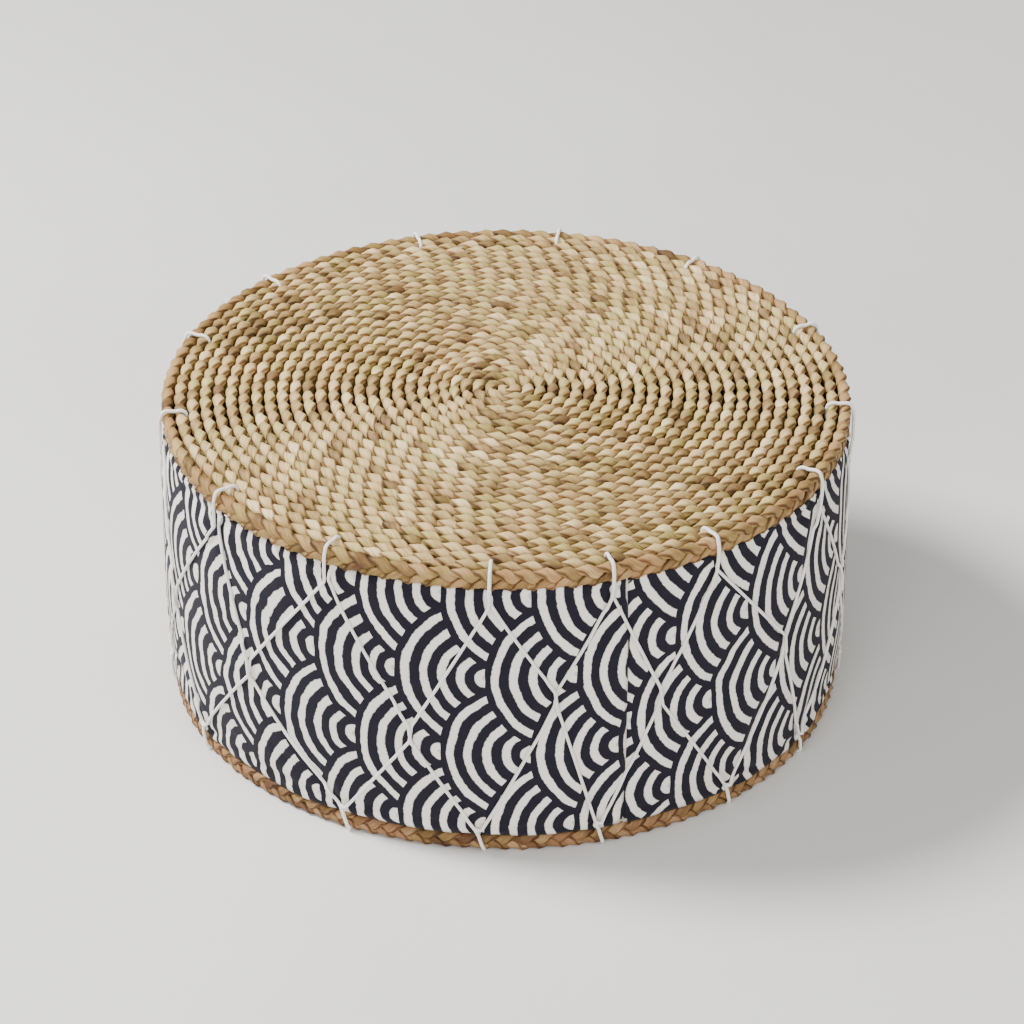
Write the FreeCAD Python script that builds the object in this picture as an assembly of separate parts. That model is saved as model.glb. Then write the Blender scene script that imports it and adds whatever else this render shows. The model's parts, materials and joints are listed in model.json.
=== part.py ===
import FreeCAD, Part
import math
import os

# A low round pouf.  A foam core in a printed cotton drum stands between two discs of coiled
# water-hyacinth braid, and two cotton cords lace the discs together all round.
# Millimetres, +Z up, the origin at the centre of the underside.

# Overall size
RADIUS = 250.0                 # outer face of the rim braid, seat and base alike
HEIGHT = 233.0                 # floor to the top of the seat braid

# Braid discs
ROWS = 27                      # rows of braid from the centre out, the rim braid included
ROW_GAP = 0.4
ROW_ROUNDING = 3.0
SEAT_BRAID_HEIGHT = 16.0
BASE_BRAID_HEIGHT = 13.5
TAPER_ANGLE = 120.0            # the last stretch of the coil thins out over this angle
SEAT_COIL_TURN = 152.0         # puts the seat coil's tail end at the front
COIL_THREAD_RADIUS = 0.5
COIL_THREAD_COUNT = 16
COIL_THREAD_INNER = 20.0
COIL_THREAD_OUTER = 245.0

# Cover and filling, from the outside in
SIDE_EDGE_RADIUS = 246.5       # printed band at its top and bottom edges
SIDE_BULGE = 4.0               # extra radius at half height
FABRIC = 1.2
LINER = 0.8
LAYER_GAP = 0.2
PANEL_CLEARANCE = 1.4          # room between braid disc and cover panel for the coil thread
SEAM_AZIMUTH = 290.0
SEAM_ALLOWANCE = 12.0
SEAM_THREAD_RADIUS = 0.4
SEAM_ROOM = 2.2                # room that the seam allowances take inside the cover
SIDE_WADDING = 8.0
TOP_WADDING = 10.0
COMFORT_FOAM = 30.0

# Lacing
CORD_RADIUS = 1.2
CORD_CLEARANCE = 0.5
CORD_SINK = 1.2                # how deep the cord beds into the seat braid
ROWS_LACED = 2                 # rows that each stitch takes in
STITCH_SPREAD = 1.4            # half the space between a stitch's two legs
CORD_BEND = 3.0                # the widest bend that clears the braid's edges
APEX_DROP = 12.0               # from the seat braid down to where a stitch forks
APEX_RISE = 7.0                # from the base braid up to where a stitch forks
SIDE_STANDOFF = 1.2            # keeps straight runs off the round cover
TWIST_HALF = 6.5               # half the height over which two crossing cords lie together
KNOT_RADIUS = 4.5
KNOT_THICKNESS = 4.2
KNOT_ROUNDING = 1.8

# Stitches round the rim, hand-spaced: azimuth at the seat and at the base, in degrees
SEAT_AZIMUTHS = [23.5, 54.5, 81, 107, 138, 162, 189, 216.5, 241, 268, 287.5, 306, 332.5, 355.5]
BASE_AZIMUTHS = [26, 53, 82, 109, 136, 163, 187, 209.5, 243.5, 266.5, 286, 310, 329.5, 355.5]
# Where the cords cross after each stitch: azimuth and height
CROSSINGS = [(39.5, 118), (68, 111), (94.5, 121), (122.5, 110), (150, 117), (175, 113), (200, 108),
             (225, 108), (255.5, 98), (278.5, 131), (296, 119), (321.5, 119), (344, 114), (370, 116)]

Z_AXIS = FreeCAD.Vector(0, 0, 1)
ROW_PITCH = RADIUS / ROWS
SEAT_UNDERSIDE = HEIGHT - SEAT_BRAID_HEIGHT
COVER_TOP = SEAT_UNDERSIDE - PANEL_CLEARANCE
COVER_BOTTOM = BASE_BRAID_HEIGHT + PANEL_CLEARANCE
FILL_TOP = COVER_TOP - FABRIC - SEAM_ROOM
FILL_BOTTOM = COVER_BOTTOM + FABRIC + SEAM_ROOM
HOLE_RADIUS = CORD_RADIUS + CORD_CLEARANCE
LACED_RADIUS = RADIUS - ROWS_LACED * ROW_PITCH


def polar(radius, azimuth, height):
    """A point from its radius, azimuth in degrees and height."""
    angle = math.radians(azimuth)
    return FreeCAD.Vector(radius * math.cos(angle), radius * math.sin(angle), height)


def turned(shape, azimuth):
    """The shape turned about the Z axis."""
    copy = shape.copy()
    copy.rotate(FreeCAD.Vector(), Z_AXIS, azimuth)
    return copy


def disc(radius, low, high):
    """A plain round slab between two heights."""
    return Part.makeCylinder(radius, high - low, FreeCAD.Vector(0, 0, low))


# ---- braid discs ----

def row_section(radius, low, height):
    """The rounded rectangle of one braid row, standing in the XZ plane at this radius."""
    width = ROW_PITCH - ROW_GAP
    inner = radius - width / 2
    plate = Part.makeBox(width, 1, height, FreeCAD.Vector(inner, 0, low))
    upright = [edge for edge in plate.Edges if abs(edge.tangentAt(edge.FirstParameter).y) > 0.9]
    rounded = plate.makeFillet(ROW_ROUNDING, upright)
    return next(face for face in rounded.Faces if face.CenterOfMass.y < 1e-6)


def row_arc(centre_x, radius, start, sweep, low, height):
    """One stretch of a braid row, turned about a centre on the X axis."""
    centre = FreeCAD.Vector(centre_x, 0, 0)
    section = row_section(centre_x + radius, low, height)
    section.rotate(centre, Z_AXIS, start)
    return section.revolve(centre, Z_AXIS, sweep)


def coil(low, height):
    """A flat coil of braid inside the rim braid.  Its rows are round on one half, and each steps
    out by one row on the other half.  The last row thins out against the rim braid."""
    first = ROW_PITCH / 2
    last_row = ROWS - 2
    parts = []
    for row in range(last_row):
        radius = first + row * ROW_PITCH
        parts.append(row_arc(0, radius, 180, 180, low, height))
        parts.append(row_arc(-first, radius + first, 0, 180, low, height))
    radius = first + last_row * ROW_PITCH
    parts.append(row_arc(0, radius, 180, 180, low, height))
    tail = row_arc(-first, radius + first, 0, TAPER_ANGLE, low, height)
    parts.append(tail.common(disc(RADIUS - ROW_PITCH - ROW_GAP / 2, low, low + height)))
    return parts[0].multiFuse(parts[1:]).removeSplitter()


def rim_braid(low, height):
    """The closed ring of braid round the outside of a disc."""
    return row_arc(0, RADIUS - ROW_PITCH / 2, 0, 360, low, height)


def lacing_slot(azimuth, low, high):
    """Room for the cord where it lies across the laced rows."""
    length = RADIUS - LACED_RADIUS + 2 * HOLE_RADIUS
    width = 2 * (STITCH_SPREAD + HOLE_RADIUS)
    corner = FreeCAD.Vector(LACED_RADIUS, -width / 2, low)
    return turned(Part.makeBox(length, width, high - low, corner), azimuth)


def lacing_hole(azimuth, low, high):
    """The gap between two rows that the cord is drawn through."""
    hole = Part.makeCylinder(HOLE_RADIUS, high - low, FreeCAD.Vector(LACED_RADIUS, 0, low))
    return turned(hole, azimuth)


def seat_cutters():
    """Room for the lacing in the seat disc."""
    cutters = []
    for azimuth in SEAT_AZIMUTHS:
        cutters.append(lacing_slot(azimuth, SEAT_UNDERSIDE - 1, SEAT_UNDERSIDE + 2 * HOLE_RADIUS))
        cutters.append(lacing_slot(azimuth, HEIGHT - CORD_SINK - 2 * CORD_CLEARANCE, HEIGHT + 1))
        cutters.append(lacing_hole(azimuth, SEAT_UNDERSIDE - 1, HEIGHT + 1))
    return cutters


def base_cutters():
    """Room for the lacing in the base disc."""
    cutters = []
    for azimuth in BASE_AZIMUTHS:
        cutters.append(lacing_slot(azimuth, -1, 2 * HOLE_RADIUS))
        cutters.append(lacing_slot(azimuth, BASE_BRAID_HEIGHT - 2 * HOLE_RADIUS, BASE_BRAID_HEIGHT + 1))
        cutters.append(lacing_hole(azimuth, -1, BASE_BRAID_HEIGHT + 1))
    return cutters


def coil_stitching(height):
    """The straight runs of thread on a coil's hidden face that tie its rows together."""
    length = COIL_THREAD_OUTER - COIL_THREAD_INNER
    start = FreeCAD.Vector(COIL_THREAD_INNER, 0, height)
    run = Part.makeCylinder(COIL_THREAD_RADIUS, length, start, FreeCAD.Vector(1, 0, 0))
    step = 360 / COIL_THREAD_COUNT
    return Part.makeCompound([turned(run, (i + 0.5) * step) for i in range(COIL_THREAD_COUNT)])


# ---- cover and filling ----

def side_radius(height):
    """Radius of the outside of the printed band, which bulges in a shallow arc."""
    middle = (COVER_TOP + COVER_BOTTOM) / 2
    half = (COVER_TOP - COVER_BOTTOM) / 2
    arc_radius = (half ** 2 + SIDE_BULGE ** 2) / (2 * SIDE_BULGE)
    drop = arc_radius - math.sqrt(arc_radius ** 2 - (height - middle) ** 2)
    return SIDE_EDGE_RADIUS + SIDE_BULGE - drop


def side_arc(depth, low, high):
    """The bulged line of the side, this deep inside the outer face, in the XZ plane."""
    heights = (low, (low + high) / 2, high)
    points = [FreeCAD.Vector(side_radius(z) - depth, 0, z) for z in heights]
    return Part.Arc(*points).toShape()


def bulged_ring(outer_depth, inner_depth, low, high, sweep=360):
    """A round band that follows the side, between two depths under its outer face."""
    outside = side_arc(outer_depth, low, high)
    inside = side_arc(inner_depth, low, high)
    bottom = Part.makeLine(inside.firstVertex().Point, outside.firstVertex().Point)
    top = Part.makeLine(outside.lastVertex().Point, inside.lastVertex().Point)
    section = Part.Face(Part.Wire(Part.__sortEdges__([bottom, outside, top, inside])))
    return section.revolve(FreeCAD.Vector(), Z_AXIS, sweep)


def bulged_block(depth, low, high):
    """A solid slab whose edge follows the side at this depth."""
    edge = side_arc(depth, low, high)
    foot = FreeCAD.Vector(0, 0, low)
    head = FreeCAD.Vector(0, 0, high)
    bottom = Part.makeLine(foot, edge.firstVertex().Point)
    top = Part.makeLine(edge.lastVertex().Point, head)
    section = Part.Face(Part.Wire([bottom, edge, top, Part.makeLine(head, foot)]))
    return section.revolve(FreeCAD.Vector(), Z_AXIS, 360)


def side_cover():
    """The printed band, with the turned-in allowances of its one upright seam."""
    band = bulged_ring(0, FABRIC, COVER_BOTTOM, COVER_TOP)
    sweep = math.degrees(2 * SEAM_ALLOWANCE / SIDE_EDGE_RADIUS)
    low = COVER_BOTTOM + FABRIC + LAYER_GAP
    high = COVER_TOP - FABRIC - LAYER_GAP
    allowance = bulged_ring(FABRIC / 2, 1.8 * FABRIC, low, high, sweep)
    return band.fuse(turned(allowance, SEAM_AZIMUTH - sweep / 2)).removeSplitter()


def side_seam_stitching():
    """The line of thread down the middle of the upright seam, on its hidden face."""
    depth = 1.8 * FABRIC + LAYER_GAP + SEAM_THREAD_RADIUS
    path = side_arc(depth, COVER_BOTTOM + 3, COVER_TOP - 3)
    start = path.firstVertex().Point
    ring = Part.makeCircle(SEAM_THREAD_RADIUS, start, path.tangentAt(path.FirstParameter))
    thread = Part.Wire([path]).makePipeShell([Part.Wire([ring])], True, False)
    return turned(thread, SEAM_AZIMUTH)


def panel_radius():
    return SIDE_EDGE_RADIUS - FABRIC - LAYER_GAP


def seam_ring(height):
    """The round line of thread that joins a cover panel to the band."""
    return Part.makeTorus(panel_radius() - 3, SEAM_THREAD_RADIUS, FreeCAD.Vector(0, 0, height))


def liner_depth():
    return FABRIC + SEAM_ROOM


def filling_depth():
    return liner_depth() + LINER + LAYER_GAP


# ---- lacing ----

def cord_radius_at(height, layer):
    """Radius of a cord's centre line on the side: layer 0 lies on the cover, 1 over another cord."""
    standoff = CORD_RADIUS + CORD_CLEARANCE / 2 + SIDE_STANDOFF
    return side_radius(height) + standoff + layer * (2 * CORD_RADIUS + CORD_CLEARANCE)


def stitch_points(azimuth, apex, outer_level, inner_level):
    """One stitch: up the rim's face, across the laced rows, down between them, and back out."""
    spread = math.degrees(STITCH_SPREAD / RADIUS)
    face = RADIUS + CORD_RADIUS + CORD_CLEARANCE
    before = azimuth - spread
    after = azimuth + spread
    side = cord_radius_at(apex, 0)
    return [(polar(side, before, apex), None),
            (polar(face, before, inner_level), None),
            (polar(face, before, outer_level), CORD_BEND),
            (polar(LACED_RADIUS, azimuth, outer_level), CORD_BEND),
            (polar(LACED_RADIUS, azimuth, inner_level), CORD_BEND),
            (polar(face, after, inner_level), CORD_BEND),
            (polar(side, after, apex), None)]


def seat_stitch(azimuth):
    over = HEIGHT + CORD_RADIUS - CORD_SINK
    return stitch_points(azimuth, SEAT_UNDERSIDE - APEX_DROP, over, SEAT_UNDERSIDE + HOLE_RADIUS)


def base_stitch(azimuth):
    inside = BASE_BRAID_HEIGHT - HOLE_RADIUS
    return stitch_points(azimuth, BASE_BRAID_HEIGHT + APEX_RISE, HOLE_RADIUS, inside)


def halfway(start, end, layer):
    """A point on the side midway between two others."""
    angle_a = math.degrees(math.atan2(start.y, start.x))
    turn = (math.degrees(math.atan2(end.y, end.x)) - angle_a) % 360
    height = (start.z + end.z) / 2
    return polar(cord_radius_at(height, layer), angle_a + turn / 2, height)


def crossing_points(start, end, crossing, layer):
    """The run between two stitches, which lies along the other cord for a moment as it crosses it."""
    azimuth, height = crossing
    reach = math.copysign(TWIST_HALF, start.z - end.z)
    enter = polar(cord_radius_at(height + reach, layer), azimuth, height + reach)
    leave = polar(cord_radius_at(height - reach, layer), azimuth, height - reach)
    first = halfway(start, enter, 0)
    last = halfway(leave, end, 0)
    return [(point, None) for point in (first, enter, leave, last)]


def lacing_route(first_at_seat):
    """The whole way round: stitches at seat and base in turn, and back to the first."""
    count = len(SEAT_AZIMUTHS)
    stitches = []
    for i in range(count):
        at_seat = (i % 2 == 0) == first_at_seat
        stitches.append(seat_stitch(SEAT_AZIMUTHS[i]) if at_seat else base_stitch(BASE_AZIMUTHS[i]))
    route = [stitches[0][-1]]
    for i in range(count):
        following = stitches[(i + 1) % count]
        layer = 1 if (i % 2 == 0) == first_at_seat else 0
        route += crossing_points(route[-1][0], following[0][0], CROSSINGS[i], layer)
        route += following
    return route


def shortened(route, length):
    """The route with both its ends drawn back, to leave room for the knot."""
    points = [point for point, _ in route]
    start = points[0] + (points[1] - points[0]).normalize() * length
    end = points[-1] + (points[-2] - points[-1]).normalize() * length
    return [(start, None)] + route[1:-1] + [(end, None)]


def tangent_arc(before, corner, after, radius):
    """The arc that rounds a corner of the route.  With no radius given it is as large as fits."""
    back = before - corner
    ahead = after - corner
    shorter = min(back.Length, ahead.Length)
    back.normalize()
    ahead.normalize()
    half_turn = (math.pi - back.getAngle(ahead)) / 2
    largest = 0.45 * shorter / math.tan(half_turn)
    bend = min(radius or largest, largest)
    reach = bend * math.tan(half_turn)
    inward = (back + ahead).normalize()
    middle = corner + inward * (bend / math.cos(half_turn) - bend)
    return corner + back * reach, middle, corner + ahead * reach


def cord_path(route):
    """Straight runs joined by tangent arcs."""
    edges = []
    position = route[0][0]
    for i in range(1, len(route) - 1):
        corner, radius = route[i]
        start, middle, end = tangent_arc(route[i - 1][0], corner, route[i + 1][0], radius)
        edges.append(Part.makeLine(position, start))
        edges.append(Part.Arc(start, middle, end).toShape())
        position = end
    edges.append(Part.makeLine(position, route[-1][0]))
    return Part.Wire(edges)


def lacing_cord(first_at_seat):
    """One of the two cords, a round tube along its path."""
    path = cord_path(shortened(lacing_route(first_at_seat), KNOT_RADIUS))
    start = path.Edges[0]
    ring = Part.makeCircle(CORD_RADIUS, start.firstVertex().Point, start.tangentAt(start.FirstParameter))
    cord = path.makePipeShell([Part.Wire([ring])], True, False)
    ideal = math.pi * CORD_RADIUS ** 2 * path.Length
    name = "a" if first_at_seat else "b"
    print(f"lacing cord {name}: {path.Length:.0f} mm, volume {cord.Volume / ideal:.4f} of a straight one")
    return cord


def lacing_knot(first_at_seat, cord):
    """The flattened knot that ties a cord's two ends, lying against the cover."""
    place = lacing_route(first_at_seat)[0][0]
    azimuth = math.degrees(math.atan2(place.y, place.x))
    inner = side_radius(place.z) + CORD_CLEARANCE
    start = FreeCAD.Vector(inner, 0, place.z)
    knot = Part.makeCylinder(KNOT_RADIUS, KNOT_THICKNESS, start, FreeCAD.Vector(1, 0, 0))
    rims = [edge for edge in knot.Edges if edge.Closed]
    return turned(knot.makeFillet(KNOT_ROUNDING, rims), azimuth).cut(cord)


def build():
    """Every sub-part by name."""
    thread_offset = COIL_THREAD_RADIUS + LAYER_GAP
    liner_top = FILL_TOP - LINER
    liner_bottom = FILL_BOTTOM + LINER
    wadding_top = liner_top - LAYER_GAP
    wadding_bottom = wadding_top - TOP_WADDING
    comfort_bottom = wadding_bottom - LAYER_GAP - COMFORT_FOAM
    core_bottom = liner_bottom + LAYER_GAP
    core_top = comfort_bottom - LAYER_GAP
    wadding_depth = filling_depth() + SIDE_WADDING
    core_depth = wadding_depth + LAYER_GAP
    liner_disc = SIDE_EDGE_RADIUS - liner_depth() - LINER - LAYER_GAP
    cord_a = lacing_cord(True)
    cord_b = lacing_cord(False)
    return {
        "seat_coil": turned(coil(SEAT_UNDERSIDE, SEAT_BRAID_HEIGHT), SEAT_COIL_TURN).cut(seat_cutters()),
        "seat_rim_braid": rim_braid(SEAT_UNDERSIDE, SEAT_BRAID_HEIGHT).cut(seat_cutters()),
        "seat_coil_stitching": coil_stitching(SEAT_UNDERSIDE - thread_offset),
        "base_coil": coil(0, BASE_BRAID_HEIGHT).cut(base_cutters()),
        "base_rim_braid": rim_braid(0, BASE_BRAID_HEIGHT).cut(base_cutters()),
        "base_coil_stitching": coil_stitching(BASE_BRAID_HEIGHT + thread_offset),
        "side_cover": side_cover(),
        "side_seam_stitching": side_seam_stitching(),
        "top_cover_panel": disc(panel_radius(), COVER_TOP - FABRIC, COVER_TOP),
        "base_cover_panel": disc(panel_radius(), COVER_BOTTOM, COVER_BOTTOM + FABRIC),
        "top_seam_stitching": seam_ring(COVER_TOP - FABRIC - 2 * SEAM_THREAD_RADIUS),
        "base_seam_stitching": seam_ring(COVER_BOTTOM + FABRIC + 2 * SEAM_THREAD_RADIUS),
        "inner_liner_band": bulged_ring(liner_depth(), liner_depth() + LINER, FILL_BOTTOM, FILL_TOP),
        "inner_liner_top": disc(liner_disc, liner_top, FILL_TOP),
        "inner_liner_base": disc(liner_disc, FILL_BOTTOM, liner_bottom),
        "side_wadding": bulged_ring(filling_depth(), wadding_depth, core_bottom, wadding_top),
        "top_wadding": bulged_block(core_depth, wadding_bottom, wadding_top),
        "comfort_foam": bulged_block(core_depth, comfort_bottom, wadding_bottom - LAYER_GAP),
        "foam_core": bulged_block(core_depth, core_bottom, core_top),
        "lacing_cord_a": cord_a,
        "lacing_cord_b": cord_b,
        "lacing_knot_a": lacing_knot(True, cord_a),
        "lacing_knot_b": lacing_knot(False, cord_b),
    }


os.makedirs("parts", exist_ok=True)
for name, shape in build().items():
    shape.exportStep(f"parts/{name}.step")
    box = shape.BoundBox
    print(f"{name}: {len(shape.Solids)} solid(s), valid {shape.isValid()}, "
          f"z {box.ZMin:.1f} to {box.ZMax:.1f}, x {box.XMin:.1f} to {box.XMax:.1f}")
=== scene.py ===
import json
import math

import bpy
import numpy as np
from mathutils import Matrix, Vector


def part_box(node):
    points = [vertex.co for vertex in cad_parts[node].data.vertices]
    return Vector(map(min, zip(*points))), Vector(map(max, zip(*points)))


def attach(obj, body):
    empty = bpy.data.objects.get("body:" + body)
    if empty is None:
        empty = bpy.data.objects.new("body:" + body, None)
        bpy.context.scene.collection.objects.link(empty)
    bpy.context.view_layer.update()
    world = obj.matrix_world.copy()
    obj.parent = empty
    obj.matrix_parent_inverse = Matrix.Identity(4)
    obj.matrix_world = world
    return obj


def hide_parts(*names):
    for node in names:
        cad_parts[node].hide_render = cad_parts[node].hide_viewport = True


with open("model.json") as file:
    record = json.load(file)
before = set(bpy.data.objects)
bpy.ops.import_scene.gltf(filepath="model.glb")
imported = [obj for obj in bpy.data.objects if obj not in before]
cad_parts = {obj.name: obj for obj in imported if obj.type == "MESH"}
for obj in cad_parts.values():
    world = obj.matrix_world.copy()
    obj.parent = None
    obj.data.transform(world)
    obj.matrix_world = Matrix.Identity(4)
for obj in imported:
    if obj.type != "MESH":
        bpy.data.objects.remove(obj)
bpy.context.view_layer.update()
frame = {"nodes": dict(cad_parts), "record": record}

# ---- places and sizes, in metres, from the frame ----
SEAT_LOW, SEAT_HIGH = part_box("seat_rim_braid")
BASE_LOW, BASE_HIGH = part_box("base_rim_braid")
COVER_LOW, COVER_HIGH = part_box("side_cover")
RADIUS = SEAT_HIGH.x
ROWS = 27
ROW_PITCH = RADIUS / ROWS
BASE_RADIUS = RADIUS - 0.0018    # the base braid is drawn in a little by the lacing


# ---- small helpers ----

def smooth(x):
    """Eases from 0 to 1."""
    x = np.clip(x, 0, 1)
    return x * x * (3 - 2 * x)


def wander(where, spacing, seed, loop=None):
    """A smooth random value from -1 to 1 along a line, with a new random knot about every spacing.
    On a closed line of the given length, the end meets the start."""
    where = np.asarray(where)
    if loop:
        count = max(3, round(loop / spacing))
        place = where / loop * count
    else:
        place = (where - where.min()) / spacing
        count = int(place.max()) + 2
    first = np.floor(place).astype(int)
    knots = np.random.default_rng(seed).uniform(-1, 1, count)
    part = smooth(place - first)
    return knots[first % count] * (1 - part) + knots[(first + 1) % count] * part


def link(obj):
    bpy.context.scene.collection.objects.link(obj)
    return obj


def unit(vectors):
    """Each row of an array at length 1."""
    return vectors / np.linalg.norm(vectors, axis=-1, keepdims=True)


def grid_faces(rows, columns, wrap_rows=False, wrap_columns=False):
    """The quads of a grid of points, closed up in either direction."""
    i = np.arange(rows if wrap_rows else rows - 1)[:, None]
    j = np.arange(columns if wrap_columns else columns - 1)[None, :]
    next_i = (i + 1) % rows
    next_j = (j + 1) % columns
    corners = (i * columns + j, i * columns + next_j, next_i * columns + next_j, next_i * columns + j)
    return np.stack(np.broadcast_arrays(*corners), -1).reshape(-1, 4).tolist()


def mesh_object(name, points, faces, material, attributes=None):
    """A smooth-shaded mesh with named point attributes."""
    mesh = bpy.data.meshes.new(name)
    mesh.from_pydata(points.reshape(-1, 3).tolist(), [], faces)
    for key, values in (attributes or {}).items():
        kind = "FLOAT_VECTOR" if values.ndim == 2 else "FLOAT"
        field = "vector" if values.ndim == 2 else "value"
        mesh.attributes.new(key, kind, "POINT").data.foreach_set(field, values.astype(np.float32).ravel())
    mesh.shade_smooth()
    if material:
        mesh.materials.append(material)
    return link(bpy.data.objects.new(name, mesh))


def tube(name, path, side, out, half_width, half_thickness, power, around, material, along, tone,
         closed=False):
    """A strand: an oval, squarish for a high power, swept along a path.  Its ends meet, or are capped."""
    turn = np.arange(around) / around * 2 * math.pi
    cos, sin = np.cos(turn), np.sin(turn)
    across = np.sign(cos) * np.abs(cos) ** (2 / power)
    through = np.sign(sin) * np.abs(sin) ** (2 / power)
    rings = (path[:, None, :]
             + side[:, None, :] * (half_width[:, None] * across)[:, :, None]
             + out[:, None, :] * (half_thickness[:, None] * through)[:, :, None])
    count = len(path)
    points = rings.reshape(-1, 3)
    faces = grid_faces(count, around, wrap_rows=closed, wrap_columns=True)
    where = np.stack([np.repeat(along, around), np.tile(cos, count), np.tile(sin, count)], 1)
    tones = np.repeat(tone, around)
    if not closed:
        last = (count - 1) * around
        points = np.concatenate([points, path[:1], path[-1:]])
        where = np.concatenate([where, where[:1], where[-1:]])
        tones = np.concatenate([tones, tones[:1], tones[-1:]])
        for j in range(around):
            k = (j + 1) % around
            faces.append((count * around, k, j))
            faces.append((count * around + 1, last + j, last + k))
    return mesh_object(name, points, faces, material, {"strand": where, "tone": tones})


def keep(piece, slot, *nodes):
    """The piece stands for these CAD nodes, which it hides, and hangs from the root body. The slot is not
    used.
    """
    if nodes:
        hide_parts(*nodes)
    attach(piece, "root")


# ---- material nodes ----

class Nodes:
    """Writes a node material in few words."""

    def __init__(self, name):
        self.material = bpy.data.materials.new(name)
        self.material.use_nodes = True
        self.tree = self.material.node_tree
        self.shader = self.tree.nodes["Principled BSDF"]

    def add(self, kind, **settings):
        node = self.tree.nodes.new(kind)
        for key, value in settings.items():
            setattr(node, key, value)
        return node

    def put(self, socket, value):
        """Links an output to a socket, or sets the socket's value."""
        if isinstance(value, bpy.types.NodeSocket):
            self.tree.links.new(value, socket)
        else:
            socket.default_value = value

    def math(self, operation, *values):
        node = self.add("ShaderNodeMath", operation=operation)
        for socket, value in zip(node.inputs, values):
            self.put(socket, value)
        return node.outputs[0]

    def parts(self, vector):
        split = self.add("ShaderNodeSeparateXYZ")
        self.put(split.inputs[0], vector)
        return split.outputs[0], split.outputs[1], split.outputs[2]

    def attribute(self, name):
        """The three parts of a point attribute."""
        return self.parts(self.add("ShaderNodeAttribute", attribute_name=name).outputs["Vector"])

    def value(self, name):
        """A point attribute that is one number."""
        return self.add("ShaderNodeAttribute", attribute_name=name).outputs["Fac"]

    def place(self):
        """Where a point is in the object's own frame."""
        return self.add("ShaderNodeTexCoord").outputs["Object"]

    def vector(self, x, y, z):
        node = self.add("ShaderNodeCombineXYZ")
        for socket, value in zip(node.inputs, (x, y, z)):
            self.put(socket, value)
        return node.outputs[0]

    def noise(self, vector, scale=1.0, detail=2.0, roughness=0.5):
        node = self.add("ShaderNodeTexNoise")
        self.put(node.inputs["Vector"], vector)
        self.put(node.inputs["Scale"], scale)
        self.put(node.inputs["Detail"], detail)
        self.put(node.inputs["Roughness"], roughness)
        return node.outputs["Fac"]

    def cells(self, vector, scale):
        """How far each point is from the middle of its random cell."""
        node = self.add("ShaderNodeTexVoronoi")
        self.put(node.inputs["Vector"], vector)
        self.put(node.inputs["Scale"], scale)
        return node.outputs["Distance"]

    def ramp(self, factor, stops):
        node = self.add("ShaderNodeValToRGB")
        elements = node.color_ramp.elements
        while len(elements) < len(stops):
            elements.new(0.5)
        for element, (place, colour) in zip(elements, stops):
            element.position = place
            element.color = (*colour, 1)
        self.put(node.inputs[0], factor)
        return node.outputs[0]

    def mix(self, factor, a, b, blend="MIX"):
        node = self.add("ShaderNodeMix", data_type="RGBA", blend_type=blend)
        self.put(node.inputs["Factor"], factor)
        self.put(node.inputs["A"], a if isinstance(a, bpy.types.NodeSocket) else (*a, 1))
        self.put(node.inputs["B"], b if isinstance(b, bpy.types.NodeSocket) else (*b, 1))
        return node.outputs["Result"]

    def bump(self, height, strength, distance):
        node = self.add("ShaderNodeBump")
        self.put(node.inputs["Height"], height)
        self.put(node.inputs["Strength"], strength)
        self.put(node.inputs["Distance"], distance)
        self.put(self.shader.inputs["Normal"], node.outputs[0])

    def finish(self, colour, roughness, specular=0.3, sheen=0.0):
        self.put(self.shader.inputs["Base Color"], colour)
        self.put(self.shader.inputs["Roughness"], roughness)
        self.put(self.shader.inputs["Specular IOR Level"], specular)
        self.put(self.shader.inputs["Sheen Weight"], sheen)
        return self.material


# plant fibre: how fast its noises change, per metre along a stem or round it
FIBRE_RATE = 55
FIBRE_ROUND = 4.2
BLOTCH_RATE = 110
BLOTCH_ROUND = 0.6
CAST_RATE = 38
BLOTCH_TONE = 0.7        # how far a blotch moves the tone
CASTS = [(0.34, (0.93, 1.0, 0.80)), (0.5, (1.0, 1.0, 1.0)), (0.66, (1.03, 0.96, 0.95))]
FIBRE_SHADE = (0.66, 0.58, 0.48)
# painted shade: the colour each strand is darkened by towards its edges, for the shade in the gaps between
# stems
EDGE_PAINTED_SHADE = (0.3, 0.22, 0.14)
WHITE = (1, 1, 1)
BLACK = (0, 0, 0)


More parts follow.
